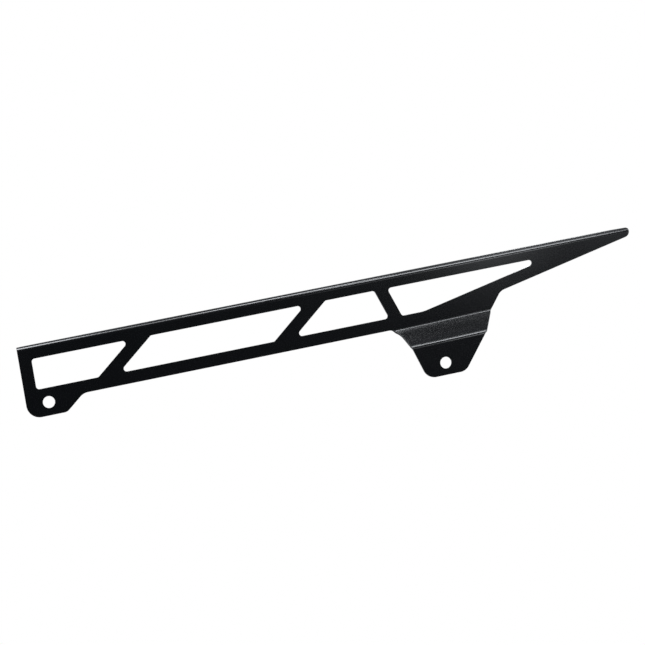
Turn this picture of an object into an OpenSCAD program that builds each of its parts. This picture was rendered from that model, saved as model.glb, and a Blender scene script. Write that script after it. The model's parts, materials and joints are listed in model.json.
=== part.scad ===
// Motorcycle chain guard: one laser-cut sheet, folded along its top edge and stepped out at its rear tab.
// X runs along the top edge towards the tip, Y runs inwards through the sheet, and Z is up.
// The origin is the centre of the front bolt hole, on the sheet's inner face.

/* [Sheet] */
// Thickness of the sheet
sheet_t = 2; // [1.5:0.1:3]
// Inside radius of every bend
bend_r = 1.5; // [1:0.1:3]

/* [Bar] */
// Length of the top edge, from the front end to the tip
top_len = 459; // [430:1:500]
// Height of the bar, from the folded top edge to its lower edge
bar_h = 40.4; // [36:0.2:48]
// Lean of the front end from square, in degrees
end_lean = 1.5; // [0:0.5:4]
// Height of the square end of the tip
tip_h = 6.2; // [5:0.2:9]
// Radius of the tip's lower corner
tip_r = 4.5; // [1:0.1:5]

/* [Top flange] */
// Reach of the folded top, from the sheet's outer face
flange_w = 15; // [10:0.5:25]
// Length of the slanted cut that ends the flange at the tip
flange_mitre = 9.5; // [5:0.5:15]
// Size of the slanted cut across the flange's free corner at the front end
flange_corner = 4; // [2:0.5:8]

/* [Windows] */
// Height of the rail above the windows
top_rail = 9.7; // [8:0.1:13]
// Height of the rail below the windows
bottom_rail = 8.8; // [7:0.1:12]
// Width of the post in front of the first window
post_w = 9; // [6:0.5:14]
// Width of each strut
strut_w = 9.1; // [7:0.1:12]
// Width of the rail along the tapered edge
taper_rail = 8.4; // [7:0.1:12]
// Angle of the first and second struts and of the front ear's slope
brace_angle = 38.6; // [34:0.2:44]
// Angle of the third strut
steep_angle = 108.5; // [100:0.5:116]
// Place of the first strut's middle, from the front hole
first_strut_x = 58.3; // [54:0.1:66]
// Place of the second strut's middle, from the front hole
second_strut_x = 186.9; // [150:0.1:200]
// Place of the third strut's middle, from the front hole
third_strut_x = 253.3; // [246:0.1:258]
// Radius of the windows' corners
window_r = 2.2; // [1:0.1:3]
// Place where the last window's lower edge turns up, from the front hole
window_turn_x = 278.5; // [272:0.5:290]
// Radius of that turn
window_turn_r = 28; // [10:1:40]

/* [Mounts] */
// Diameter of the front and rear bolt holes
hole_d = 8.5; // [6:0.1:10]
// Distance along the bar between the two holes
hole_spacing = 283.2; // [270:0.1:300]
// Distance from the front hole to the front end
front_hole_edge = 16; // [12:0.1:20]
// Depth of the front ear below the bar
ear_drop = 10.8; // [9:0.1:16]
// Distance from the front hole to the ear's lower edge
ear_edge = 9.4; // [8:0.1:12]
// Run of the ear's lower edge behind the front hole
ear_run = 11.3; // [9:0.1:16]
// Radius of the ear's front corner, and of the place where its slope meets the bar
ear_r = 9.3; // [4:0.1:10]
// Radius of the ear's rear corner
ear_rear_r = 6; // [3:0.1:9]

/* [Rear tab] */
// Depth of the rear tab below the bar
tab_drop = 38.6; // [34:0.2:48]
// Distance from the rear hole to the tab's lower edge
tab_edge = 8.8; // [8:0.1:12]
// Run of the tab's lower edge in front of the rear hole
tab_front_run = 15.2; // [13:0.1:18]
// Run of the tab's lower edge behind the rear hole
tab_rear_run = 13.6; // [11:0.1:18]
// Angle of the tab's front edge
tab_front_angle = 107; // [102:0.5:112]
// Angle of the tab's rear edge
tab_rear_angle = 51; // [46:0.5:56]
// Radius of the tab's corners
tab_r = 8.5; // [4:0.1:9]
// Radius where the tab's front edge leaves the bar
tab_root_r = 8.6; // [6:0.2:16]
// Distance by which the tab stands out from the bar
step_out = 18; // [12:0.5:24]
// Angle of the stepped face from the bar's plane
step_angle = 54; // [40:1:65]
// Distance from the bar's lower edge down to the step's first bend, at the front of the tab
step_gap = 0.2; // [0.2:0.1:3]
// Rise of the step's two bends towards the tip, in degrees
step_rise = 0.8; // [0:0.1:2]

/* [Hidden] */
$fn = 96;

// Extra length of cutting shapes past the faces that they cut
overrun = 1;

// Rise of a rounding arc over the edges that it joins, so that it crosses them
arc_lap = 0.001;

outer_r = bend_r + sheet_t;

// Levels, from the centre of the front hole
ear_z = -ear_edge;
bar_z = ear_z + ear_drop;
top_z = bar_z + bar_h;
tab_z = bar_z - tab_drop;
window_top_z = top_z - top_rail;
window_low_z = bar_z + bottom_rail;
window_mid_z = (window_top_z + window_low_z) / 2;

// The front end's line and the post's inner line
end_angle = 90 - end_lean;
end_p = [-front_hole_edge / cos(end_lean), 0];
post_p = end_p + [post_w / cos(end_lean), 0];
front_top = meet(end_p, end_angle, [0, top_z], 0);
tip_x = front_top.x + top_len;

// The tapered edge, which rises to the tip a rail's width below the place where the window turns
tip_low = [tip_x, top_z - tip_h];
turn_to_tip = tip_low - [window_turn_x, window_low_z];
taper_angle = atan(turn_to_tip.y / turn_to_tip.x) + asin(taper_rail / norm(turn_to_tip));
taper_in = [0, taper_rail / cos(taper_angle)];

// The rear hole and the stretch of the sheet that carries the tab
rear_hole = [hole_spacing, tab_z + tab_edge];
tab_front = [rear_hole.x - tab_front_run, tab_z];
tab_rear = [rear_hole.x + tab_rear_run, tab_z];
tab_root = meet(tab_front, tab_front_angle, [0, bar_z], 0);
stretch_x = hole_spacing / 2;

// The step: its straight face's length, and its depth from the first bend to the last
step_face = (step_out - (bend_r + outer_r) * (1 - cos(step_angle))) / sin(step_angle);
step_depth = (bend_r + outer_r) * sin(step_angle) + step_face * cos(step_angle);
first_bend_z = bar_z - step_gap;
last_bend_z = first_bend_z - step_depth;
step_top_z = bar_z + bottom_rail / 2;

function unit(v) = v / norm(v);
function heading(a) = [cos(a), sin(a)];

// Where the line through p at angle a meets the line through q at angle b
function meet(p, a, q, b) =
    p + heading(a) * ((q - p).x * sin(b) - (q - p).y * cos(b)) / sin(b - a);

// Half of the angle at corner b, between its neighbours a and c
function half_angle(a, b, c) = acos(unit(a - b) * unit(c - b)) / 2;

// Positive where an outline that runs anticlockwise turns left at b
function turn(a, b, c) = (b - a).x * (c - b).y - (b - a).y * (c - b).x;

// The centre of the arc that rounds corner b, and the place where that arc leaves the edge to a
function arc_centre(a, b, c, r) =
    b + unit(unit(a - b) + unit(c - b)) * r / sin(half_angle(a, b, c));
function arc_foot(a, b, c, r) = b + unit(a - b) * r / tan(half_angle(a, b, c));

// What lies between corner b and the arc of radius r that rounds it, run on past both edges
module corner_piece(a, b, c, r) {
    centre = arc_centre(a, b, c, r);
    feet = [arc_foot(a, b, c, r), b, arc_foot(c, b, a, r)];
    difference() {
        polygon([centre, for (p = feet) centre + (p - centre) * (r + overrun) / r]);
        translate(centre) circle(r + arc_lap);
    }
}

// An outline that runs anticlockwise, with a true arc of its own radius at each corner
module rounded_outline(points, radii) {
    last = len(points) - 1;
    before = [for (i = [0 : last]) points[i == 0 ? last : i - 1]];
    after = [for (i = [0 : last]) points[i == last ? 0 : i + 1]];
    inward = [for (i = [0 : last]) radii[i] > 0 && turn(before[i], points[i], after[i]) < 0];
    difference() {
        polygon([
            for (i = [0 : last]) each !inward[i] ? [points[i]] : [
                arc_foot(before[i], points[i], after[i], radii[i]),
                arc_centre(before[i], points[i], after[i], radii[i]),
                arc_foot(after[i], points[i], before[i], radii[i])
            ]
        ]);
        for (i = [0 : last])
            if (inward[i])
                translate(arc_centre(before[i], points[i], after[i], radii[i]))
                    circle(radii[i] + arc_lap);
            else if (radii[i] > 0)
                corner_piece(before[i], points[i], after[i], radii[i]);
    }
}

// The guard's edge in side view, from the ear's front corner round to the front end's top
module side_edge() {
    ear_rear = [ear_run, ear_z];
    rounded_outline(
        [
            meet(end_p, end_angle, [0, ear_z], 0),
            ear_rear,
            meet(ear_rear, brace_angle, [0, bar_z], 0),
            tab_root,
            tab_front,
            tab_rear,
            meet(tab_rear, tab_rear_angle, tip_low, taper_angle),
            tip_low,
            [tip_x, top_z + overrun],
            meet(end_p, end_angle, [0, top_z + overrun], 0)
        ],
        [ear_r, ear_rear_r, ear_r, tab_root_r, tab_r, tab_r, tab_r, tip_r, 0, 0]
    );
}

// A point on the front (side -1) or rear (side 1) face of a strut
function strut_face(x, angle, side) = [x + side * strut_w / 2 / sin(angle), window_mid_z];

// A window between two slanted sides, each given by a point and an angle
module window(front_p, front_angle, rear_p, rear_angle) {
    low = [0, window_low_z];
    high = [0, window_top_z];
    rounded_outline(
        [
            meet(low, 0, front_p, front_angle),
            meet(low, 0, rear_p, rear_angle),
            meet(high, 0, rear_p, rear_angle),
            meet(high, 0, front_p, front_angle)
        ],
        [window_r, window_r, window_r, window_r]
    );
}

// The last window, whose lower edge turns up beside the tapered edge and ends in a narrow round
module long_window(front_p, front_angle) {
    low = [0, window_low_z];
    high = [0, window_top_z];
    taper_p = tip_low + taper_in;
    rounded_outline(
        [
            meet(low, 0, front_p, front_angle),
            meet(low, 0, taper_p, taper_angle),
            meet(high, 0, taper_p, taper_angle),
            meet(high, 0, front_p, front_angle)
        ],
        [window_r, window_turn_r, window_r, window_r]
    );
}

module windows() {
    window(post_p, end_angle, strut_face(first_strut_x, brace_angle, -1), brace_angle);
    window(
        strut_face(first_strut_x, brace_angle, 1), brace_angle,
        strut_face(second_strut_x, brace_angle, -1), brace_angle
    );
    window(
        strut_face(second_strut_x, brace_angle, 1), brace_angle,
        strut_face(third_strut_x, steep_angle, -1), steep_angle
    );
    long_window(strut_face(third_strut_x, steep_angle, 1), steep_angle);
}

// Everything that is cut through the sheet in side view
module side_view() {
    difference() {
        side_edge();
        windows();
        circle(d = hole_d);
        translate(rear_hole) circle(d = hole_d);
    }
}

// The bar's section above a given level: the upright face, the top bend and the flange
module bar_section(low_z) {
    rounded_outline(
        [
            [-sheet_t, low_z],
            [0, low_z],
            [0, top_z - sheet_t],
            [flange_w - sheet_t, top_z - sheet_t],
            [flange_w - sheet_t, top_z],
            [-sheet_t, top_z]
        ],
        [0, 0, bend_r, 0, 0, outer_r]
    );
}

// The section that carries the tab: a bend outwards below the bar's middle, and a bend back
module stepped_section() {
    low_z = tab_z - bar_h;
    rounded_outline(
        [
            [-step_out - sheet_t, low_z],
            [-step_out, low_z],
            [-step_out, last_bend_z + bend_r * tan(step_angle / 2)],
            [0, first_bend_z - outer_r * tan(step_angle / 2)],
            [0, step_top_z],
            [-sheet_t, step_top_z],
            [-sheet_t, first_bend_z - bend_r * tan(step_angle / 2)],
            [-step_out - sheet_t, last_bend_z + outer_r * tan(step_angle / 2)]
        ],
        [0, 0, bend_r, outer_r, 0, 0, bend_r, outer_r]
    );
}

// Carries a section along the bar, from one place to another
module along_bar(from_x, to_x) {
    translate([from_x, 0, 0]) rotate([90, 0, 90]) linear_extrude(to_x - from_x) children();
}

// The whole folded strip, before its edge is cut
module folded_strip() {
    difference() {
        along_bar(-front_hole_edge - ear_r, tip_x + overrun) bar_section(ear_z - overrun);
        risen() translate([stretch_x, -flange_w, step_top_z - bar_h]) cube([top_len, 2 * flange_w, bar_h]);
    }
    risen() translate([stretch_x, 0, 0]) rotate([90, 0, 90]) linear_extrude(top_len) stepped_section();
}

// Turns the stretch that carries the tab, so that its bends rise towards the tip. The slope is kept
// to steps of 0.002, at which six digits hold a true turn and the sheet's faces stay in one plane.
module risen() {
    pivot = [tab_root.x, 0, first_bend_z];
    slope = round(sin(step_rise) * 500) / 500;
    level = 1 - slope * slope / 2;
    translate(pivot)
        multmatrix([[level, 0, -slope, 0], [0, 1, 0, 0], [slope, 0, level, 0], [0, 0, 0, 1]])
            translate(-pivot) children();
}

// Cuts the flange's ends at a slant in plan, from within the top bend upwards
module flange_trim() {
    free_y = flange_w - sheet_t;
    slant = flange_mitre / flange_w;
    translate([0, 0, top_z - sheet_t - bend_r / 4]) linear_extrude(outer_r) {
        polygon([
            [tip_x + overrun, -sheet_t / 2 - overrun / slant],
            [tip_x + overrun, free_y + overrun],
            [tip_x - (free_y + sheet_t / 2 + overrun) * slant, free_y + overrun]
        ]);
        polygon([
            [front_top.x + flange_corner + overrun, free_y + overrun],
            [front_top.x - overrun, free_y + overrun],
            [front_top.x - overrun, free_y - flange_corner - overrun]
        ]);
    }
}

module guard_plate() {
    depth = step_out + sheet_t + flange_w;
    color([0.1, 0.1, 0.11])
    difference() {
        intersection() {
            folded_strip();
            translate([0, flange_w, 0]) rotate([90, 0, 0]) linear_extrude(depth + overrun) side_view();
        }
        flange_trim();
    }
}

guard_plate();
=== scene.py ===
import json
import math

import bmesh
import bpy
from mathutils import Matrix, Vector


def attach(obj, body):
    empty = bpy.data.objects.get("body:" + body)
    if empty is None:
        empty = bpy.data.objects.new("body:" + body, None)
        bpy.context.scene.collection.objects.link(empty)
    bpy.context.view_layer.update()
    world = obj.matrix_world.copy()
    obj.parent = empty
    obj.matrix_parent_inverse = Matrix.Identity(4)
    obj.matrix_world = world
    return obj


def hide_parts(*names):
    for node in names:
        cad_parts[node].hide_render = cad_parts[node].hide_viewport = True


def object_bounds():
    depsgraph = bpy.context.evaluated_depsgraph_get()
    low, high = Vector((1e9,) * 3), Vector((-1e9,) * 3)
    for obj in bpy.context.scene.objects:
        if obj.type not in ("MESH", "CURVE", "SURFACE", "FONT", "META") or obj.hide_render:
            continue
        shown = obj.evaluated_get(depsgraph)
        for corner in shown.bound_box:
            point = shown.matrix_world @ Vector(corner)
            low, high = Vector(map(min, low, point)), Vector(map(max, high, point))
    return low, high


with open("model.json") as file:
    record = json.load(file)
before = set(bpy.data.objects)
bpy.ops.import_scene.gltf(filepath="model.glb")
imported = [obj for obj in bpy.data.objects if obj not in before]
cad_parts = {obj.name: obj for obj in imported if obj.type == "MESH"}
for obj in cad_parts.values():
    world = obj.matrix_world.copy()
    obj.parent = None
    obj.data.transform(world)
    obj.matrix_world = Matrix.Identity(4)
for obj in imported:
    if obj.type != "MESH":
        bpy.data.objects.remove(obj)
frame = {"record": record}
CAD_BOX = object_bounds()

# A chain guard: one black powder-coated sheet, cut, folded along its top and stepped at its rear tab.
# Lengths are in metres, and angles in radians unless degrees are named. X runs to the tip, Y inwards
# through the sheet and Z up, from the centre of the front bolt hole on the sheet's inner face.

bl_info = {
    "name": "Chain Guard",
    "version": (1, 0, 0),
    "blender": (4, 5, 0),
    "location": "3D View > Sidebar > Guard",
    "description": "Builds a folded sheet chain guard, its powder coat and a studio stage",
    "category": "Object",
}

MM = 0.001
NODE = "guard_plate"
# The rear hole's place and both holes' radius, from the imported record
MOUNTS = {m["name"]: m for m in frame["record"]["mounts"]}
REAR = Vector(MOUNTS["rear_hole"]["pos_m"])
HOLE_R = MOUNTS["front_hole"]["dims"]["r_mm"] * MM
# Radius of the flange's three corners
FLANGE_CORNER_R = 0.4 * MM
# Keeps the tip just inside the solid's box
TIP_SLACK = 0.001 * MM
# How many fine steps a bend turns in
BEND_STEPS = 20
# A point this near to a scored line lies on it
ON_LINE = 1e-8
# The sizes that the folding rule takes
FOLD_SIZES = (
    "Thickness", "Bend radius", "Top bend", "Stepped stretch", "First bend",
    "Tab root", "Step angle", "Step face", "Step rise",
)


def length(name, about, mm):
    """A length that a user may change, given in millimetres."""
    return bpy.props.FloatProperty(
        name=name, description=about, default=mm * MM, min=0.0, unit="LENGTH", precision=5
    )


def angle(name, about, degrees):
    """An angle that a user may change, given in degrees."""
    return bpy.props.FloatProperty(
        name=name, description=about, default=math.radians(degrees), unit="ROTATION"
    )


def number(name, about, value, high=1.0):
    """A plain number that a user may change."""
    return bpy.props.FloatProperty(
        name=name, description=about, default=value, min=0.0, soft_max=high
    )


def colour(name, about, value):
    """A colour that a user may change."""
    return bpy.props.FloatVectorProperty(
        name=name, description=about, default=value, size=3, min=0.0, soft_max=1.0, subtype="COLOR"
    )


class GuardSizes(bpy.types.PropertyGroup):
    """The sizes of the cut and folded sheet."""

    sheet: length("Sheet", "Thickness of the sheet", 2.0)
    bend_r: length("Bend radius", "Inside radius of every bend", 1.5)
    edge_r: length("Eased edge", "Width of the eased cut edge", 0.12)
    top_len: length("Top length", "Length of the top edge", 459.0)
    bar_h: length("Bar height", "Height of the bar", 40.4)
    end_lean: angle("End lean", "Lean of the front end from square", 1.5)
    tip_h: length("Tip height", "Height of the square end of the tip", 6.2)
    tip_r: length("Tip radius", "Radius of the tip's lower corner", 4.5)
    flange_w: length("Flange", "Reach of the folded top from the outer face", 15.0)
    mitre: length("Mitre", "Length of the slanted cut at the tip", 9.5)
    corner: length("Flange corner", "Size of the slanted cut at the front", 4.0)
    top_rail: length("Top rail", "Height of the rail above the windows", 9.7)
    low_rail: length("Lower rail", "Height of the rail below the windows", 8.8)
    post_w: length("Post", "Width of the post in front of the windows", 9.0)
    strut_w: length("Struts", "Width of each strut", 9.1)
    taper_rail: length("Taper rail", "Width of the rail along the taper", 8.4)
    brace: angle("Brace angle", "Angle of the slanted struts", 38.6)
    steep: angle("Steep strut", "Angle of the third strut", 108.5)
    first_x: length("First strut", "Place of the first strut's middle", 58.3)
    second_x: length("Second strut", "Place of the second strut's middle", 186.9)
    third_x: length("Third strut", "Place of the third strut's middle", 253.3)
    window_r: length("Window corners", "Radius of the windows' corners", 2.2)
    turn_x: length("Turn place", "Where the last window turns up", 278.5)
    turn_r: length("Turn radius", "Radius where the last window turns up", 28.0)
    front_edge: length("Front margin", "From the front hole to the front end", 16.0)
    ear_drop: length("Ear depth", "Depth of the front ear below the bar", 10.8)
    ear_edge: length("Ear margin", "From the front hole to the ear's edge", 9.4)
    ear_run: length("Ear run", "Run of the ear's lower edge", 11.3)
    ear_r: length("Ear radius", "Radius of the ear's front corner and of its slope's end", 9.3)
    ear_rear_r: length("Ear rear radius", "Radius of the ear's rear corner", 6.0)
    tab_drop: length("Tab depth", "Depth of the rear tab below the bar", 38.6)
    tab_front: length("Tab front run", "Tab's lower edge in front of the hole", 15.2)
    tab_rear: length("Tab rear run", "Tab's lower edge behind the hole", 13.6)
    tab_front_a: angle("Tab front angle", "Angle of the tab's front edge", 107.0)
    tab_rear_a: angle("Tab rear angle", "Angle of the tab's rear edge", 51.0)
    tab_r: length("Tab radius", "Radius of the tab's corners", 8.5)
    root_r: length("Root radius", "Radius where the tab leaves the bar", 8.6)
    step_out: length("Step", "How far the tab stands out from the bar", 18.0)
    step_a: angle("Step angle", "Angle of the stepped face", 54.0)
    step_gap: length("Step gap", "From the bar's edge to the first bend", 0.2)
    step_rise: number("Step rise", "Slope of the step's bends towards the tip", 0.014, high=0.03)


class CoatLook(bpy.types.PropertyGroup):
    """The powder coat's colour and finish."""

    tint: colour("Black", "Colour of the coat", (0.0031, 0.0035, 0.0042))
    rough: number("Roughness", "Roughness of the coat's body", 0.22)
    skin: number("Clear skin", "Weight of the smoother skin on the coat", 1.0)
    skin_rough: number("Skin roughness", "Roughness of the smoother skin", 0.12)
    uneven: number("Unevenness", "How far the roughness drifts", 0.05)
    drift_size: length("Drift size", "Size of the wide drift in the roughness", 45.0)
    patch_size: length("Patch size", "Size of the patches in the roughness and the colour", 9.0)
    paler: number("Paler patches", "How many times paler than the coat a patch may be", 1.5, high=3.0)
    peel_size: length("Peel size", "Size of the orange peel's dimples", 1.6)
    peel_depth: length("Peel depth", "Depth of the orange peel's dimples", 0.00045)
    grain_size: length("Grain size", "Size of the fine powder grain", 0.35)
    grain_depth: length("Grain depth", "Depth of the fine powder grain", 0.00012)


class StageLook(bpy.types.PropertyGroup):
    """The floor, the lamps and the dome of painted reflections round the stage."""

    pale: colour("Floor", "Colour of the floor", (0.86, 0.86, 0.86))
    drop: length("Floor drop", "How far the floor lies below the guard", 350.0)
    clear: length("Floor patch", "Radius of the patch of floor that takes the shadow", 280.0)
    fade: length("Floor fade", "Width over which the patch fades to white", 170.0)
    overhead: number("Overhead", "Strength of the lamps over the guard", 1.0, high=4.0)
    front: number("Front", "Strength of the lamps beside the camera", 1.0, high=4.0)
    rear: number("Rear", "Strength of the lamp behind the tip", 1.0, high=4.0)
    lamp_tint: colour("Lamps' colour", "Colour of every lamp", (0.97, 1.0, 1.04))
    fill: number("Fill", "Strength of the light from all round", 0.5)
    # The next two colours are the glow of the dome of painted reflections, which only the coat's
    # reflections see
    painted_reflection_dome: colour("Painted_reflection_dome", "Glow of the curtain in front and overhead", (0.017, 0.02, 0.025))
    bright_painted_reflection: colour("Bright_painted_reflection", "Glow of the curtain beside and behind the guard", (0.29, 0.30, 0.31))
    reach: length("Curtain's reach", "Radius of the curtain round the stage", 3000.0)


# The lamps over the guard hang round a line along the middle of its bar. Each has its place along that
# line, its angle up from the front in degrees, its size along the line and across it, and its
# brightness
LAMP_DISTANCE = 1.0
LAMP_AXIS_Z = 0.02
OVERHEAD = (
    (-0.06, 86, 0.26, 0.50, 8.0),
    (0.14, 76, 0.20, 0.30, 2.3),
    (0.33, 84, 0.28, 0.30, 7.8),
    (0.49, 61, 0.22, 0.28, 6.8),
    (0.68, 57, 0.26, 0.40, 5.8),
    (0.66, 89, 0.30, 0.20, 2.2),
    (0.58, 106, 0.80, 0.45, 0.04),
)
# The lamps beside the camera shine straight back, and the one behind the tip straight forward. Each
# has its place along the guard, the level of its middle, its width, its height and its brightness
FAR_LAMP_DISTANCE = 1.5
FRONT = (
    (0.76, 0.06, 0.20, 0.14, 1.1),
    (0.78, 0.20, 0.25, 0.20, 0.9),
    (0.78, 0.40, 0.25, 0.30, 3.4),
    (0.55, 0.35, 0.25, 0.30, 0.5),
    (1.00, 0.10, 0.20, 0.30, 0.35),
)
REAR_LAMP = (0.84, 0.25, 0.24, 0.12, 2.5)
# The dome of painted reflections, which glows though it is no lamp, brightens towards the back and
# dims overhead.
# Each pair says where that starts and ends, as the Y or the Z of a direction of length 1
BEHIND = (-0.85, 0.0)
OVER = (0.55, 0.9)
# It dims again straight behind the guard, from the horizon upwards, by this share
STRAIGHT_BEHIND = (0.8, 0.93)
HORIZON = (-0.1, 0.0)
HORIZON_DIP = 0.75
# Half the floor's width
FLOOR_REACH = 30.0
# The share of the wide drift in the roughness, and a noise's middle value
DRIFT_SHARE = 0.6
NOISE_MIDDLE = 0.5
# The camera's place, its turn in degrees and its lens in millimetres
CAMERA_PLACE = (-0.002863, -1.220952, 0.073719)
CAMERA_TURN = (87.321404, 10.943186, -10.087698)
CAMERA_LENS = 95.339944


class Wire:
    """A node's socket that adds, takes away, multiplies and divides by adding Math nodes."""

    def __init__(self, tree, socket):
        self.tree, self.socket = tree, socket

    def _math(self, operation, a, b):
        out = node(self.tree, "ShaderNodeMath", {"operation": operation}, {0: a, 1: b})
        return Wire(self.tree, out.outputs[0])

    def __add__(self, other):
        return self._math("ADD", self, other)

    __radd__ = __add__

    def __sub__(self, other):
        return self._math("SUBTRACT", self, other)

    def __rsub__(self, other):
        return self._math("SUBTRACT", other, self)

    def __mul__(self, other):
        return self._math("MULTIPLY", self, other)

    __rmul__ = __mul__

    def __truediv__(self, other):
        return self._math("DIVIDE", self, other)

    def __rtruediv__(self, other):
        return self._math("DIVIDE", other, self)

    def larger(self, other):
        """The larger of the two values."""
        return self._math("MAXIMUM", self, other)

    def smaller(self, other):
        """The smaller of the two values."""
        return self._math("MINIMUM", self, other)

    def beyond(self, other):
        """1 where this value is more than the other, and 0 elsewhere."""
        return self._math("GREATER_THAN", self, other)

    def sin(self):
        return self._math("SINE", self, 0)

    def cos(self):
        return self._math("COSINE", self, 0)

    def root(self):
        """The square root, or 0 for what rounding has put below it."""
        return self._math("SQRT", self.larger(0), 0)


def node(tree, kind, settings=None, values=None):
    """Adds a node, then its settings, then the values or links of its sockets."""
    made = tree.nodes.new(kind)
    for name, value in (settings or {}).items():
        setattr(made, name, value)
    for key, value in (values or {}).items():
        socket = made.inputs[key]
        if isinstance(value, Wire):
            tree.links.new(value.socket, socket)
        elif isinstance(value, bpy.types.NodeSocket):
            tree.links.new(value, socket)
        else:
            socket.default_value = value
    return made


def parts(tree, socket):
    """A vector's three values."""
    split = node(tree, "ShaderNodeSeparateXYZ", None, {0: socket})
    return tuple(Wire(tree, out) for out in split.outputs)


def pack(tree, x, y, z):
    """A vector of three values."""
    return node(tree, "ShaderNodeCombineXYZ", None, {0: x, 1: y, 2: z}).outputs[0]


def vector(tree, operation, a, b):
    """One step of vector maths."""
    return node(tree, "ShaderNodeVectorMath", {"operation": operation}, {0: a, 1: b}).outputs[0]


def scaled(tree, a, size):
    """A vector made longer or shorter."""
    made = node(tree, "ShaderNodeVectorMath", {"operation": "SCALE"}, {0: a, "Scale": size})
    return made.outputs[0]


def ease(tree, value, start, end):
    """A smooth rise from 0 to 1 while the value goes from start to end."""
    made = node(
        tree, "ShaderNodeMapRange", {"interpolation_type": "SMOOTHSTEP"},
        {"Value": value, "From Min": start, "From Max": end},
    )
    return Wire(tree, made.outputs["Result"])


def new_material(name):
    """An empty node material and its tree."""
    material = bpy.data.materials.new(name)
    material.use_nodes = True
    material.node_tree.nodes.clear()
    return material, material.node_tree


# The flat outlines, in X and Z


def meet(p, a, q, b):
    """Where the line through p at angle a meets the line through q at angle b."""
    dx, dz = q[0] - p[0], q[1] - p[1]
    along = (dx * math.sin(b) - dz * math.cos(b)) / math.sin(b - a)
    return p[0] + along * math.cos(a), p[1] + along * math.sin(a)


def rounded(corners, step=math.radians(4), fewest=3):
    """A closed outline from its corners, each with its radius, as arcs that turn by the step."""
    out = []
    for i, (corner, radius) in enumerate(corners):
        at = Vector(corner)
        if not radius:
            out.append(at)
            continue
        back = (Vector(corners[i - 1][0]) - at).normalized()
        on = (Vector(corners[(i + 1) % len(corners)][0]) - at).normalized()
        half = back.angle(on) / 2
        swing = math.copysign(math.pi - 2 * half, -back.cross(on))
        centre = at + (back + on).normalized() * (radius / math.sin(half))
        start = at + back * (radius / math.tan(half)) - centre
        count = max(fewest, math.ceil(abs(swing) / step))
        out += [centre + Matrix.Rotation(swing * k / count, 2) @ start for k in range(count + 1)]
    return out


def hole(x, z, count=96):
    """A bolt hole's outline."""
    turns = [2 * math.pi * k / count for k in range(count)]
    return [Vector((x + HOLE_R * math.cos(t), z + HOLE_R * math.sin(t))) for t in turns]


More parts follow.
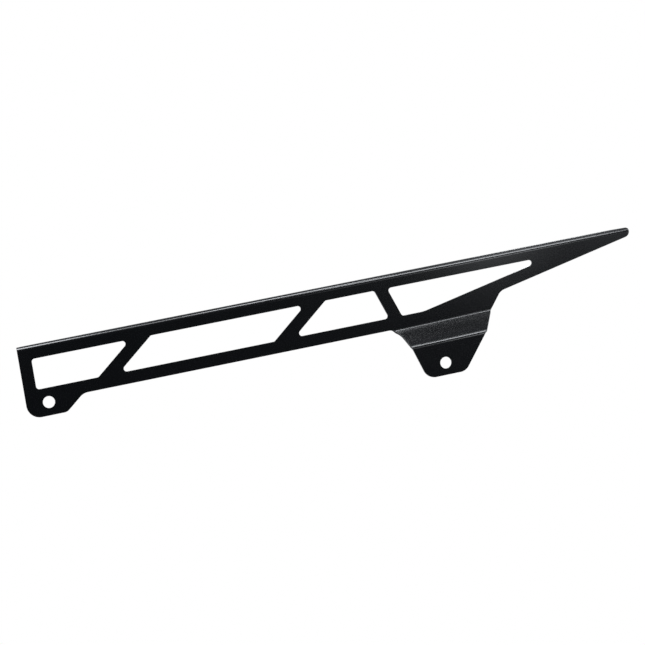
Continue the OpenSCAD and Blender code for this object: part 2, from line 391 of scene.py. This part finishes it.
class Blank:
    """The flat blank's levels and outlines, worked out from the guard's sizes.

    The top bend and the flange are unrolled by their length. The step is laid out by its height once
    folded, so the outline below the bar is the one that is seen from the side.
    """

    def __init__(self, s):
        self.s = s
        self.outer_r = s.bend_r + s.sheet
        self.ear_z = -s.ear_edge
        self.bar_z = self.ear_z + s.ear_drop
        self.top_z = self.bar_z + s.bar_h
        self.tab_z = self.bar_z - s.tab_drop
        self.low_z, self.high_z = self.bar_z + s.low_rail, self.top_z - s.top_rail
        self.end_a = math.pi / 2 - s.end_lean
        self.end_p = (-s.front_edge / math.cos(s.end_lean), 0.0)
        self.top_x = meet(self.end_p, self.end_a, (0, self.top_z), 0)[0]
        self.tip_x = self.top_x + s.top_len - TIP_SLACK
        self.tip_z = self.top_z - s.tip_h
        # The top bend's start and end on the blank, and the flange's free edge
        self.bend_z = self.top_z - self.outer_r
        self.flange_z = self.bend_z + self.outer_r * math.pi / 2
        self.free_z = self.flange_z + s.flange_w - self.outer_r
        # The stepped stretch starts half way to the rear hole, well in front of the tab
        self.step_x = REAR.x / 2
        self.step_z = self.bar_z - s.step_gap
        self.tab_front = (REAR.x - s.tab_front, self.tab_z)
        self.tab_rear = (REAR.x + s.tab_rear, self.tab_z)
        self.root = meet(self.tab_front, s.tab_front_a, (0, self.bar_z), 0)
        # The height of the straight face between the step's two bends
        reach = s.step_out - (s.bend_r + self.outer_r) * (1 - math.cos(s.step_a))
        self.step_face = reach / math.tan(s.step_a)
        run, rise = self.tip_x - s.turn_x, self.tip_z - self.low_z
        self.taper = math.atan2(rise, run) + math.asin(s.taper_rail / math.hypot(run, rise))

    def top_levels(self):
        """Levels of the top bend's fine steps on the blank."""
        arc = self.outer_r * math.pi / 2
        return [self.bend_z + arc * k / BEND_STEPS for k in range(BEND_STEPS + 1)]

    def step_depths(self):
        """Depths of the fine steps of the step's two bends, from the start of the first one."""
        s = self.s
        turns = [s.step_a * k / BEND_STEPS for k in range(BEND_STEPS + 1)]
        first = [s.bend_r * math.sin(t) for t in turns]
        end = (s.bend_r + self.outer_r) * math.sin(s.step_a) + self.step_face
        return first + [end - self.outer_r * math.sin(t) for t in reversed(turns)]

    def tip_end(self, z):
        """How far the tip's end reaches at a level of the top bend or the flange.

        Its slanted cut is straight in plan, and starts half the sheet's thickness behind the outer
        face.
        """
        turned = min((z - self.bend_z) / self.outer_r, math.pi / 2)
        reach = self.outer_r * (1 - math.cos(turned)) + max(0.0, z - self.flange_z)
        slope = self.s.mitre / self.s.flange_w
        return self.tip_x - slope * max(0.0, reach - self.s.sheet / 2)

    def edge(self):
        """The blank's outer edge, anticlockwise from the ear's front corner."""
        s = self.s
        ear = (s.ear_run, self.ear_z)
        tip = (self.tip_x, self.tip_z)
        top = self.top_levels()
        corners = [
            (meet(self.end_p, self.end_a, (0, self.ear_z), 0), s.ear_r),
            (ear, s.ear_rear_r),
            (meet(ear, s.brace, (0, self.bar_z), 0), s.ear_r),
            (self.root, s.root_r),
            (self.tab_front, s.tab_r),
            (self.tab_rear, s.tab_r),
            (meet(self.tab_rear, s.tab_rear_a, tip, self.taper), s.tab_r),
            (tip, s.tip_r),
        ]
        # Up the tip's end from above its round corner, and along the flange's slanted cut there
        clear_z = self.tip_z + s.tip_r / math.tan((math.pi / 2 + self.taper) / 2)
        corners += [((self.tip_end(z), z), 0) for z in top if z > clear_z]
        flange = [
            (self.tip_end(self.free_z), self.free_z),
            (self.top_x + s.corner, self.free_z),
            (self.top_x, self.free_z - s.corner),
        ]
        corners += [(corner, FLANGE_CORNER_R) for corner in flange]
        # Down the front end, which stays straight once the top bend is folded
        lean = math.tan(s.end_lean)
        for z in reversed(top[1:]):
            turned = (z - self.bend_z) / self.outer_r
            level = self.bend_z + self.outer_r * math.sin(turned)
            corners.append(((self.end_p[0] + level * lean, z), 0))
        return rounded(corners)

    def openings(self):
        """Outlines of the windows, from the front, and of the two bolt holes."""
        s = self.s
        low, high = (0, self.low_z), (0, self.high_z)
        middle = (self.low_z + self.high_z) / 2

        def side_of(x, a, side):
            """One side of a strut: a point on it, and its angle."""
            return (x + side * s.strut_w / 2 / math.sin(a), middle), a

        post = (self.end_p[0] + s.post_w / math.cos(s.end_lean), 0), self.end_a
        taper = (self.tip_x, self.tip_z + s.taper_rail / math.cos(self.taper)), self.taper
        sides = [
            (post, side_of(s.first_x, s.brace, -1)),
            (side_of(s.first_x, s.brace, 1), side_of(s.second_x, s.brace, -1)),
            (side_of(s.second_x, s.brace, 1), side_of(s.third_x, s.steep, -1)),
            (side_of(s.third_x, s.steep, 1), taper),
        ]
        out = []
        for front, rear in sides:
            turn_r = s.turn_r if rear is taper else s.window_r
            corners = [
                (meet(low, 0, *front), s.window_r),
                (meet(low, 0, *rear), turn_r),
                (meet(high, 0, *rear), s.window_r),
                (meet(high, 0, *front), s.window_r),
            ]
            out.append(rounded(corners))
        return [*out, hole(0, 0), hole(REAR.x, REAR.z)]


def facings(outline, side):
    """The way out of the sheet at each point of its edge, which turns evenly round each corner."""
    out = []
    for i, point in enumerate(outline):
        along = outline[(i + 1) % len(outline)] - outline[i - 1]
        out.append(Vector((along.y, -along.x)).normalized() * side)
    return out


def cut_slab(blank):
    """The flat slab as it is cut: X along it, Y through it from its outer face, Z up."""
    s = blank.s
    bm = bmesh.new()
    facing = bm.verts.layers.float_vector.new("facing")
    # The rings round a cut edge: how far in from the outline, how deep, and which way through the
    # sheet they face, or 0 where they face out of the edge
    cuts = (
        (s.edge_r, 0.0, -1),
        (0.0, s.edge_r, 0),
        (0.0, s.sheet - s.edge_r, 0),
        (s.edge_r, s.sheet, 1),
    )
    outer_rims, inner_rims = [], []
    for n, outline in enumerate([blank.edge(), *blank.openings()]):
        ways = facings(outline, -1 if n else 1)
        rings = []
        for inset, depth, through in cuts:
            ring = []
            for point, way in zip(outline, ways):
                at = point - way * inset
                vert = bm.verts.new((at.x, depth, at.y))
                vert[facing] = (0, through, 0) if through else (way.x, 0, way.y)
                ring.append(vert)
            rings.append(ring)
        for a, b in zip(rings, rings[1:]):
            for i in range(len(a)):
                j = (i + 1) % len(a)
                bm.faces.new((a[i], a[j], b[j], b[i]))
        for ring, rims in ((rings[0], outer_rims), (rings[-1], inner_rims)):
            rims += [bm.edges.get((ring[i - 1], ring[i])) for i in range(len(ring))]
    for rims in (outer_rims, inner_rims):
        filled = bmesh.ops.triangle_fill(bm, use_beauty=True, edges=rims)
        if not filled["geom"]:
            raise RuntimeError("the blank could not be filled")
    return bm


def score(bm, faces, place, across):
    """Adds the edges of one straight line across the given faces."""
    geometry = dict.fromkeys(g for f in faces for g in (f, *f.edges, *f.verts))
    bmesh.ops.bisect_plane(bm, geom=list(geometry), dist=ON_LINE, plane_co=place, plane_no=across)


def score_slab(bm, blank):
    """Adds an edge wherever the slab is to bend."""
    for z in blank.top_levels():
        near = [f for f in bm.faces if f.calc_center_median().z > blank.high_z]
        score(bm, near, (0, 0, z), (0, 0, 1))
    score(bm, bm.faces[:], (blank.step_x, 0, 0), (1, 0, 0))
    start = Vector((blank.root[0], 0, blank.step_z))
    across = Vector((-blank.s.step_rise, 0, 1)).normalized()
    for depth in blank.step_depths():
        near = [f for f in bm.faces if f.calc_center_median().x > blank.step_x]
        score(bm, near, start - across * depth, across)


def fold_tree(coat):
    """The rule that folds the slab: along its top, and twice across the stretch with the tab."""
    tree = bpy.data.node_groups.new("fold_sheet", "GeometryNodeTree")
    sockets = tree.interface
    sockets.new_socket(name="Slab", in_out="INPUT", socket_type="NodeSocketGeometry")
    for name in FOLD_SIZES:
        sockets.new_socket(name=name, in_out="INPUT", socket_type="NodeSocketFloat")
    sockets.new_socket(name="Sheet", in_out="OUTPUT", socket_type="NodeSocketGeometry")
    given = node(tree, "NodeGroupInput")
    sheet, r, top_z, step_x, step_z, root_x, turn, fall, rise = (
        Wire(tree, given.outputs[name]) for name in FOLD_SIZES
    )
    x, depth, z = parts(tree, node(tree, "GeometryNodeInputPosition").outputs[0])
    outer_r = r + sheet

    # The top bend, and the flange beyond it
    over = (z - top_z) / outer_r
    bent = over.larger(0).smaller(math.pi / 2)
    flange = (over - math.pi / 2).larger(0) * outer_r
    in_y = outer_r * (1 - bent.cos()) + flange
    up_z = z.smaller(top_z) + outer_r * bent.sin()

    # The step: a bend outwards, a straight face and a bend back
    slant = (1 + rise * rise).root()
    down = ((x - root_x) * rise - (z - step_z)) / slant
    down = down.larger(0) * x.beyond(step_x)
    first = down.smaller(r * turn.sin())
    straight = (down - first).smaller(fall)
    last = (down - first - straight).smaller(outer_r * turn.sin())
    lean = first / r - last / outer_r
    flat = (1 - lean * lean).root()
    in_first = r * (1 - (1 - (first / r) * (first / r)).root())
    back = turn.sin() - last / outer_r
    in_last = outer_r * ((1 - back * back).root() - turn.cos())
    out_y = in_first + straight * turn.sin() / turn.cos() + in_last

    # The slab's own axes once folded: along the bend, up the sheet and out of its face
    slope = rise * down.beyond(0) / slant
    level = (1 - slope * slope).root()
    along = pack(tree, level, 0, slope)
    up = pack(tree, 0 - slope * flat, bent.sin() + lean, bent.cos() * flat * level)
    out = pack(tree, 0 - slope * lean, 0 - bent.cos() * flat, bent.sin() + level * lean)
    place = pack(tree, x, in_y - out_y - sheet, up_z)
    place = vector(tree, "SUBTRACT", place, scaled(tree, out, depth))

    # The way each point faces, turned with the sheet
    named = node(
        tree, "GeometryNodeInputNamedAttribute", {"data_type": "FLOAT_VECTOR"}, {"Name": "facing"}
    )
    across, through, high = parts(tree, named.outputs[0])
    run = (across * level + high * slope) / flat
    climb = high * level - across * slope
    facing = vector(tree, "ADD", scaled(tree, along, run), scaled(tree, up, climb))
    facing = vector(tree, "SUBTRACT", facing, scaled(tree, out, through))

    # The facing is stored before the points move, because it is worked out from the flat slab too
    kept = node(
        tree, "GeometryNodeStoreNamedAttribute", {"data_type": "FLOAT_VECTOR", "domain": "POINT"},
        {"Geometry": given.outputs["Slab"], "Name": "folded_facing", "Value": facing},
    )
    moved = node(
        tree, "GeometryNodeSetPosition", None, {"Geometry": kept.outputs[0], "Position": place}
    )
    whole = node(tree, "GeometryNodeRealizeInstances", None, {"Geometry": moved.outputs[0]})
    coated = node(
        tree, "GeometryNodeSetMaterial", None, {"Geometry": whole.outputs[0], "Material": coat}
    )
    node(tree, "NodeGroupOutput", None, {"Sheet": coated.outputs[0]})
    return tree


class GUARD_OT_sheet(bpy.types.Operator):
    """Cuts the flat slab with its windows and holes, and folds it into the guard"""

    bl_idname = "guard.sheet"
    bl_label = "Folded Sheet"

    def execute(self, context):
        coat = bpy.data.materials.get("black_powder_coat")
        if coat is None:
            raise RuntimeError("mix the powder coat first")
        blank = Blank(context.scene.guard_sizes)
        slab = cut_slab(blank)
        score_slab(slab, blank)
        bmesh.ops.recalc_face_normals(slab, faces=slab.faces[:])
        mesh = bpy.data.meshes.new("guard_slab")
        slab.to_mesh(mesh)
        slab.free()
        sheet = bpy.data.objects.new("guard_sheet", mesh)
        context.scene.collection.objects.link(sheet)
        self.fold(context, sheet, blank, coat)
        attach(sheet, "root")
        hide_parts(NODE)
        return {"FINISHED"}

    def fold(self, context, sheet, blank, coat):
        """Runs the folding rule on the slab, and keeps its result as a plain mesh."""
        s = blank.s
        sizes = (
            s.sheet, s.bend_r, blank.bend_z, blank.step_x, blank.step_z,
            blank.root[0], s.step_a, blank.step_face, s.step_rise,
        )
        rule = sheet.modifiers.new("fold", "NODES")
        rule.node_group = fold_tree(coat)
        items = rule.node_group.interface.items_tree
        sockets = {item.name: item.identifier for item in items if item.in_out == "INPUT"}
        for name, value in zip(FOLD_SIZES, sizes):
            rule[sockets[name]] = value
        seen = sheet.evaluated_get(context.evaluated_depsgraph_get())
        folded = bpy.data.meshes.new_from_object(seen)
        folded.name = "guard_sheet"
        sheet.modifiers.remove(rule)
        sheet.data = folded
        ways = [Vector(v.vector).normalized() for v in folded.attributes["folded_facing"].data]
        for name in ("facing", "folded_facing"):
            folded.attributes.remove(folded.attributes[name])
        folded.shade_smooth()
        folded.normals_split_custom_set_from_vertices(ways)


class GUARD_OT_coat(bpy.types.Operator):
    """Mixes the satin black powder coat that the folded sheet is given"""

    bl_idname = "guard.coat"
    bl_label = "Powder Coat"

    def execute(self, context):
        look = context.scene.guard_coat
        coat, tree = new_material("black_powder_coat")
        place = node(tree, "ShaderNodeTexCoord").outputs["Object"]

        def noise(size, detail):
            """A noise of blots of about that size, with that much finer detail."""
            made = node(
                tree, "ShaderNodeTexNoise", None,
                {"Vector": place, "Scale": 1 / size, "Detail": detail},
            )
            return Wire(tree, made.outputs["Fac"])

        drift = noise(look.drift_size, detail=2.0)
        patch = noise(look.patch_size, detail=3.0)
        peel = noise(look.peel_size, detail=1.0)
        grain = noise(look.grain_size, detail=2.0)
        height = peel * look.peel_depth + grain * look.grain_depth
        bump = node(
            tree, "ShaderNodeBump", None,
            {"Strength": 1.0, "Distance": 1.0, "Height": height},
        )
        blotch = drift * DRIFT_SHARE + patch * (1 - DRIFT_SHARE) - NOISE_MIDDLE
        rough = look.rough + blotch * look.uneven
        pale = [min(1.0, look.paler * c) for c in look.tint]
        tone = node(
            tree, "ShaderNodeMix", {"data_type": "RGBA"},
            {"Factor": patch, "A": (*look.tint, 1), "B": (*pale, 1)},
        )
        shader = node(
            tree, "ShaderNodeBsdfPrincipled", None,
            {
                "Base Color": tone.outputs["Result"],
                "Roughness": rough,
                "Metallic": 0.0,
                "IOR": 1.5,
                "Coat Weight": look.skin,
                "Coat Roughness": look.skin_rough,
                "Normal": bump.outputs["Normal"],
            },
        )
        node(tree, "ShaderNodeOutputMaterial", None, {"Surface": shader.outputs[0]})
        return {"FINISHED"}


def glow(tree, tint):
    """A shader that only shines."""
    made = node(tree, "ShaderNodeEmission", None, {"Color": (*tint, 1), "Strength": 1.0})
    return made.outputs[0]


def mixed(tree, share, one, other):
    """The one shader where the share is 0, and the other where it is 1."""
    return node(tree, "ShaderNodeMixShader", None, {0: share, 1: one, 2: other}).outputs[0]


def white_for_eyes(tree, other):
    """Plain white where the camera, gloss or clear pieces look, and the other shader elsewhere."""
    path = node(tree, "ShaderNodeLightPath")
    seen = Wire(tree, path.outputs["Is Camera Ray"])
    seen = seen.larger(Wire(tree, path.outputs["Is Glossy Ray"]))
    seen = seen.larger(Wire(tree, path.outputs["Is Transmission Ray"]))
    return mixed(tree, seen, other, glow(tree, (1, 1, 1)))


def lamp(name, place, aim, size, brightness, tint):
    """A soft oval lamp that faces a point, with the power that gives it that brightness."""
    data = bpy.data.lights.new(name, "AREA")
    data.shape = "ELLIPSE"
    data.size, data.size_y = size
    area = math.pi / 4 * size[0] * size[1]
    data.energy = brightness * math.pi * area
    data.color = tint
    made = bpy.data.objects.new(name, data)
    made.location = place
    made.rotation_euler = (Vector(aim) - Vector(place)).to_track_quat("-Z", "Y").to_euler()
    made.visible_camera = False
    bpy.context.scene.collection.objects.link(made)


class GUARD_OT_stage(bpy.types.Operator):
    """Lays the pale floor, hangs a dome of painted reflections and sets the lamps round the guard"""

    bl_idname = "guard.stage"
    bl_label = "Studio Stage"

    def execute(self, context):
        look = context.scene.guard_stage
        low, high = CAD_BOX
        middle = (low + high) / 2
        level = low.z - look.drop
        self.floor(look, middle, level)
        # A glowing dome that paints the coat's reflections; it is no lamp
        self.painted_reflection_dome(look, middle, level)
        self.world(context, look)
        self.lamps(look)
        return {"FINISHED"}

    def lamps(self, look):
        """Hangs the lamps over the guard, beside the camera and behind the tip."""
        tint = look.lamp_tint
        for k, (x, degrees, along, across, bright) in enumerate(OVERHEAD):
            turn = math.radians(degrees)
            y = -LAMP_DISTANCE * math.cos(turn)
            z = LAMP_AXIS_Z + LAMP_DISTANCE * math.sin(turn)
            aim = (x, 0, LAMP_AXIS_Z)
            lamp(f"overhead_{k}", (x, y, z), aim, (along, across), bright * look.overhead, tint)
        for k, (x, z, wide, high, bright) in enumerate(FRONT):
            place = (x, -FAR_LAMP_DISTANCE, z)
            lamp(f"front_{k}", place, (x, 0, z), (wide, high), bright * look.front, tint)
        x, z, wide, high, bright = REAR_LAMP
        place = (x, FAR_LAMP_DISTANCE, z)
        lamp("rear", place, (x, 0, z), (wide, high), bright * look.rear, tint)

    def floor(self, look, middle, level):
        """A pale floor that fades to plain white away from the guard."""
        mesh = bpy.data.meshes.new("floor")
        rim = [(-1, -1), (1, -1), (1, 1), (-1, 1)]
        points = [(x * FLOOR_REACH, y * FLOOR_REACH, level) for x, y in rim]
        mesh.from_pydata(points, [], [(0, 1, 2, 3)])
        floor = bpy.data.objects.new("floor", mesh)
        bpy.context.scene.collection.objects.link(floor)
        material, tree = new_material("pale_floor")
        place = node(tree, "ShaderNodeTexCoord").outputs["Object"]
        away = node(
            tree, "ShaderNodeVectorMath", {"operation": "DISTANCE"},
            {0: place, 1: (middle.x, middle.y, level)},
        )
        fade = ease(tree, away.outputs["Value"], look.clear, look.clear + look.fade)
        paint = node(tree, "ShaderNodeBsdfDiffuse", None, {"Color": (*look.pale, 1)}).outputs[0]
        both = mixed(tree, fade, paint, white_for_eyes(tree, paint))
        node(tree, "ShaderNodeOutputMaterial", None, {"Surface": both})
        mesh.materials.append(material)

    def painted_reflection_dome(self, look, middle, level):
        """A dome of painted reflections all round and over the floor: it glows, though it is no lamp,
        and only the coat's reflections see it.
        """
        bm = bmesh.new()
        bmesh.ops.create_uvsphere(
            bm, u_segments=48, v_segments=24, radius=look.reach, matrix=Matrix.Translation(middle)
        )
        for vert in bm.verts:
            vert.co.z = max(vert.co.z, level + MM)
        bmesh.ops.remove_doubles(bm, verts=bm.verts[:], dist=MM)
        mesh = bpy.data.meshes.new("painted_reflection_dome")
        bm.to_mesh(mesh)
        bm.free()
        painted_reflection_dome = bpy.data.objects.new("painted_reflection_dome", mesh)
        bpy.context.scene.collection.objects.link(painted_reflection_dome)
        mesh.materials.append(self.painted_reflection_glow(look))
        for ray in ("camera", "diffuse", "transmission", "volume_scatter", "shadow"):
            setattr(painted_reflection_dome, "visible_" + ray, False)

    def painted_reflection_glow(self, look):
        """The painted reflections' glow: dim in front of the guard and over it, and brighter at its
        sides and behind it.
        """
        material, tree = new_material("painted_reflection_glow")
        place = node(tree, "ShaderNodeTexCoord").outputs["Object"]
        way = node(tree, "ShaderNodeVectorMath", {"operation": "NORMALIZE"}, {0: place})
        back, high = parts(tree, way.outputs[0])[1:]
        straight = ease(tree, back, *STRAIGHT_BEHIND) * ease(tree, high, *HORIZON)
        bright = ease(tree, back, *BEHIND) * (1 - ease(tree, high, *OVER))
        bright = bright * (1 - straight * HORIZON_DIP)
        # Painted reflection: the dim glow in front and overhead, the bright glow beside and behind
        both = mixed(tree, bright, glow(tree, look.painted_reflection_dome), glow(tree, look.bright_painted_reflection))
        node(tree, "ShaderNodeOutputMaterial", None, {"Surface": both})
        return material

    def world(self, context, look):
        """White behind the guard, and a plain fill light from all round."""
        world = bpy.data.worlds.new("studio")
        world.use_nodes = True
        tree = world.node_tree
        tree.nodes.clear()
        fill = node(
            tree, "ShaderNodeBackground", None, {"Color": (1, 1, 1, 1), "Strength": look.fill}
        )
        both = white_for_eyes(tree, fill.outputs[0])
        node(tree, "ShaderNodeOutputWorld", None, {"Surface": both})
        context.scene.world = world


class GUARD_OT_camera(bpy.types.Operator):
    """Sets the camera opposite the front hole, a little above the level of the top edge"""

    bl_idname = "guard.camera"
    bl_label = "Camera"

    def execute(self, context):
        data = bpy.data.cameras.new("camera")
        data.sensor_width = 36.0
        data.lens = CAMERA_LENS
        data.clip_start, data.clip_end = 0.01, 100.0
        camera = bpy.data.objects.new("camera", data)
        camera.location = CAMERA_PLACE
        camera.rotation_euler = [math.radians(a) for a in CAMERA_TURN]
        context.scene.collection.objects.link(camera)
        context.scene.camera = camera
        context.scene.view_settings.view_transform = "Standard"
        return {"FINISHED"}


class GUARD_PT_panel(bpy.types.Panel):
    """Lists the guard's steps and sizes"""

    bl_idname = "GUARD_PT_panel"
    bl_label = "Chain Guard"
    bl_space_type = "VIEW_3D"
    bl_region_type = "UI"
    bl_category = "Guard"

    def draw(self, context):
        column = self.layout.column(align=True)
        for step in STEPS:
            column.operator(step.bl_idname)
        for name in GROUPS:
            box = self.layout.box().column(align=True)
            group = getattr(context.scene, name)
            for key in group.__annotations__:
                box.prop(group, key)


GROUPS = {"guard_sizes": GuardSizes, "guard_coat": CoatLook, "guard_stage": StageLook}
STEPS = (GUARD_OT_coat, GUARD_OT_sheet, GUARD_OT_stage, GUARD_OT_camera)


def register():
    for cls in (*GROUPS.values(), *STEPS, GUARD_PT_panel):
        bpy.utils.register_class(cls)
    for name, cls in GROUPS.items():
        setattr(bpy.types.Scene, name, bpy.props.PointerProperty(type=cls))


def unregister():
    for name in GROUPS:
        delattr(bpy.types.Scene, name)
    for cls in reversed((*GROUPS.values(), *STEPS, GUARD_PT_panel)):
        bpy.utils.unregister_class(cls)


def main():
    register()
    bpy.ops.guard.coat()
    bpy.ops.guard.sheet()
    bpy.ops.guard.stage()
    bpy.ops.guard.camera()


if __name__ == "__main__":
    main()
